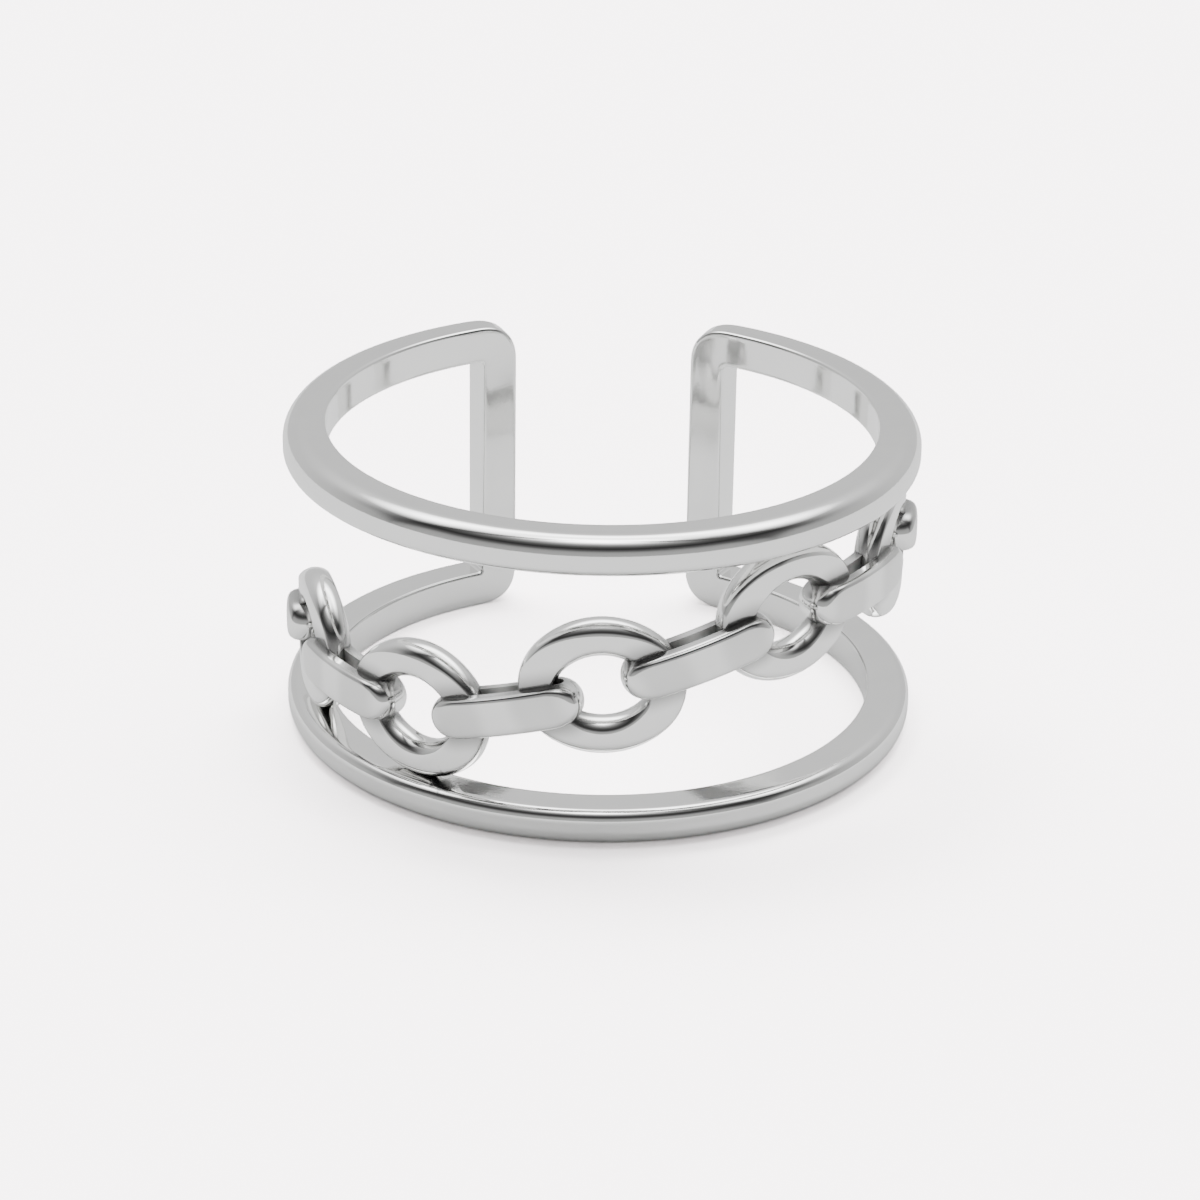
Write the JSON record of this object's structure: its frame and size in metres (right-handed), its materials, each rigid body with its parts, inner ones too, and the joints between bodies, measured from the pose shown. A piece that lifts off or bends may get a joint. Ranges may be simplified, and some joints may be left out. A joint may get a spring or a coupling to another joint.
{
  "type": "chain link ring",
  "caption": "Open cuff finger ring: two rails joined by end posts, with a flat cable chain crossing from the lower rail to the upper one.",
  "frame": {"origin": "on the finger's axis, level with the face that the lower rail rests on", "axes": "+Z along the finger, up as the ring lies; the chain faces -Y and the open gap is at +Y; +X is the picture's right"},
  "size_m": [0.0198, 0.0192, 0.01],
  "materials": {
    "polished_silver": "mirror polished, rhodium plated"
  },
  "bodies": {
    "root": {"cuff_frame": "polished_silver", "round_link_1": "polished_silver", "round_link_2": "polished_silver", "round_link_3": "polished_silver", "round_link_4": "polished_silver", "round_link_5": "polished_silver", "oval_link_1": "polished_silver", "oval_link_2": "polished_silver", "oval_link_3": "polished_silver", "oval_link_4": "polished_silver", "oval_link_5": "polished_silver", "oval_link_6": "polished_silver"}
  },
  "joints": []
}
